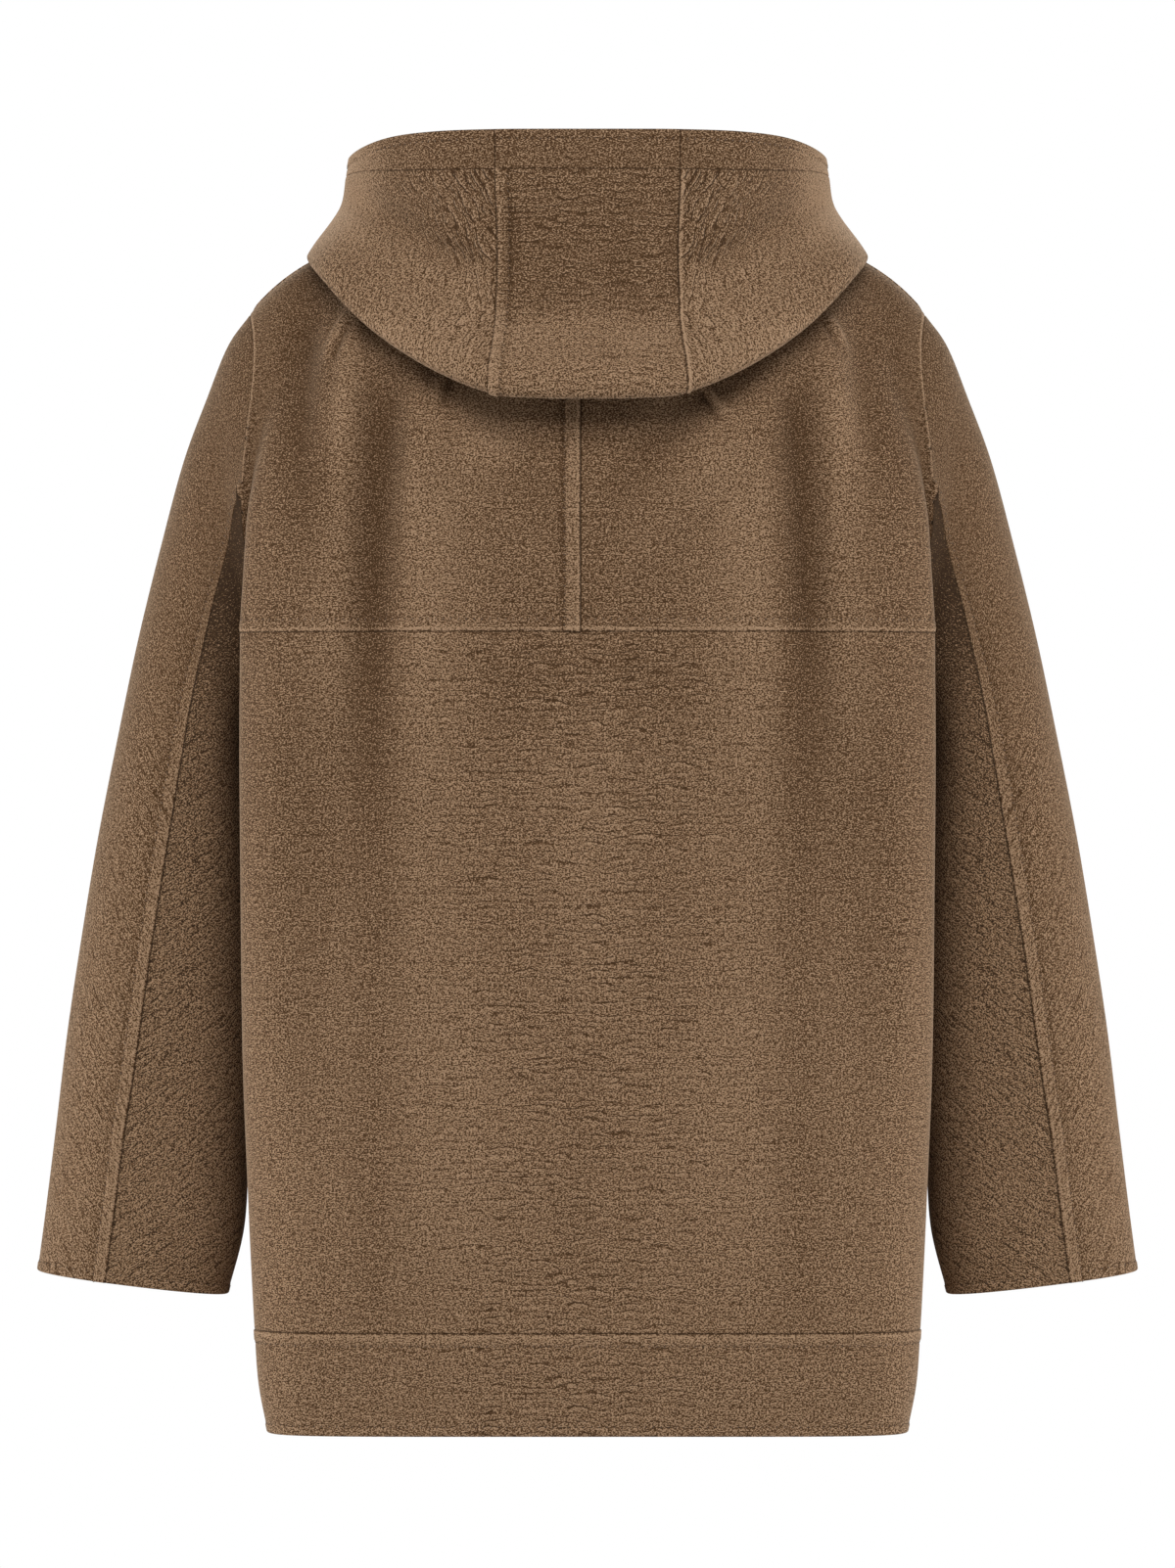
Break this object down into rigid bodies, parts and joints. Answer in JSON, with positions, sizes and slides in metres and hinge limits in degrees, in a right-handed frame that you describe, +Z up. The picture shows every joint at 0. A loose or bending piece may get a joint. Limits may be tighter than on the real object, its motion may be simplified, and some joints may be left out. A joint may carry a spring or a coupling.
{
  "type": "hooded wool coat",
  "caption": "Short hooded coat in double-faced cashmere, with yoked back, two-piece sleeves, hem band and lapped front, filled out as if worn.",
  "frame": {"origin": "where the wearer's neck holds the coat up: on its middle plane, level with the points where the shoulder seams meet the neck seam, midway between them", "axes": "+Z up, +Y towards the back of the coat, +X towards the wearer's left"},
  "size_m": [0.735, 0.2683, 0.8499],
  "materials": {
    "cashmere": "felted double-faced cashmere with a short rippled nap, mid brown with fine lighter and darker fibres"
  },
  "bodies": {
    "root": {"back_yoke_left": "cashmere", "back_yoke_right": "cashmere", "back_panel": "cashmere", "back_hem_band": "cashmere", "front_left": "cashmere", "front_right": "cashmere", "front_hem_band_left": "cashmere", "front_hem_band_right": "cashmere", "sleeve_upper_left": "cashmere", "sleeve_upper_right": "cashmere", "sleeve_under_left": "cashmere", "sleeve_under_right": "cashmere", "hood_centre": "cashmere", "hood_side_left": "cashmere", "hood_side_right": "cashmere", "hood_rim_centre": "cashmere", "hood_rim_left": "cashmere", "hood_rim_right": "cashmere"}
  },
  "joints": []
}
